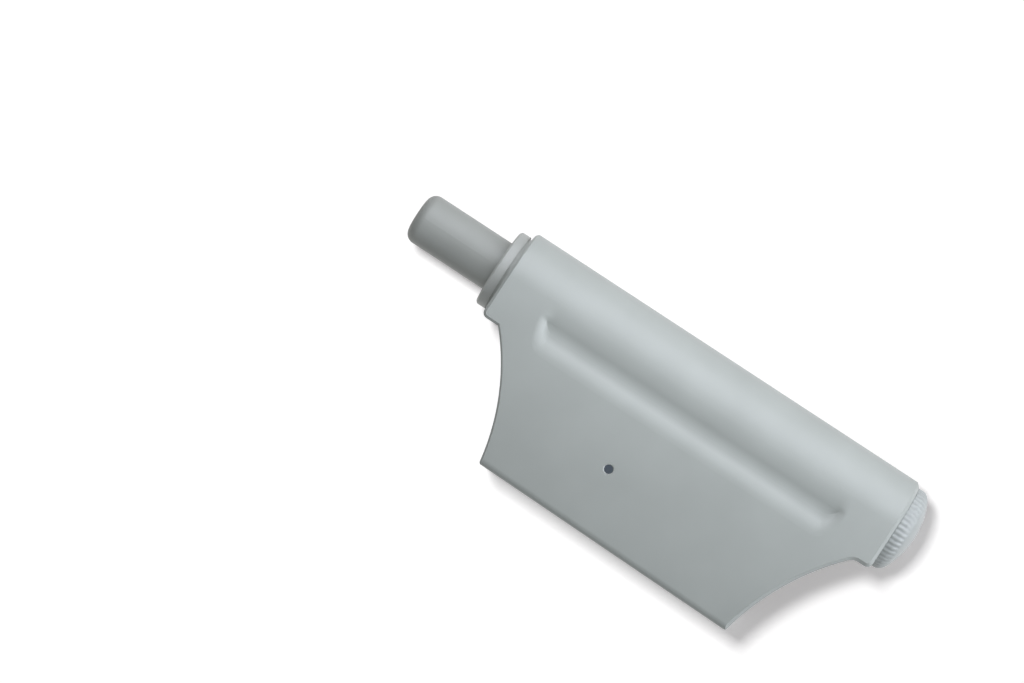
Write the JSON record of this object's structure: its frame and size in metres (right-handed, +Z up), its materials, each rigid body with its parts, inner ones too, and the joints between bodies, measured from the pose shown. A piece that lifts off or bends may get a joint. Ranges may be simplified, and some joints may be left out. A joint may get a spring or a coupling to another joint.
{
  "type": "soft close damper",
  "caption": "Clip-on soft close damper for a cabinet hinge arm: moulded cover with a side tube, sprung dark plunger, guide collar and a knurled adjuster knob at the rear.",
  "frame": {"origin": "middle of the arm seat, the underside of the cover's flat plate, halfway along the tube and halfway across the arm channel", "axes": "+X along the tube towards the plunger's tip, +Y from the tube across the channel to the cover's far edge, +Z up out of the plate"},
  "size_m": [0.0946, 0.0363, 0.0159],
  "materials": {
    "cover_plastic": "satin, fine spark-eroded moulding texture",
    "collar_plastic": "satin moulded",
    "knob_plastic": "satin moulded",
    "plunger_plastic": "satin, turned smooth",
    "inner_plastic": "natural acetal",
    "rod_steel": "ground",
    "spring_steel": "drawn wire",
    "seal_rubber": "matt",
    "foam": "closed-cell foam"
  },
  "bodies": {
    "cover": {"housing": "cover_plastic", "guide_bush": "collar_plastic", "wiper_ring": "seal_rubber", "rear_bush": "inner_plastic", "friction_ring": "seal_rubber", "thrust_washer": "rod_steel"},
    "knob": {"adjuster_knob": "knob_plastic", "adjuster_screw": "rod_steel"},
    "rod_unit": {"rod_carrier": "inner_plastic", "carrier_clip": "spring_steel", "piston_rod": "rod_steel", "piston": "inner_plastic", "piston_seal": "seal_rubber", "check_disc": "spring_steel", "piston_clip": "spring_steel"},
    "cylinder": {"plunger": "plunger_plastic", "partition_washer": "rod_steel", "foam_compensator": "foam", "rod_seal": "seal_rubber", "rod_guide": "inner_plastic", "gland_ring": "spring_steel", "return_spring": "spring_steel"}
  },
  "joints": [
    {"name": "knob_turn", "type": "hinge", "parent": "cover", "child": "knob", "pos_m": [-0.0365, -0.01663, -0.00613], "axis": [1, 0, 0], "range_deg": [-270, 270]},
    {"name": "rod_shift", "type": "slide", "parent": "cover", "child": "rod_unit", "axis": [1, 0, 0], "range_m": [-0.0018, 0.0018]},
    {"name": "plunger_press", "type": "slide", "parent": "rod_unit", "child": "cylinder", "axis": [-1, 0, 0], "range_m": [0, 0.014], "stiffness_N_per_m": 120, "springref_m": -0.006, "deforming": ["return_spring"]}
  ],
  "couplings": [
    {"joint": "knob_turn", "follows": "rod_shift", "rad_per_m": -2617.9}
  ]
}
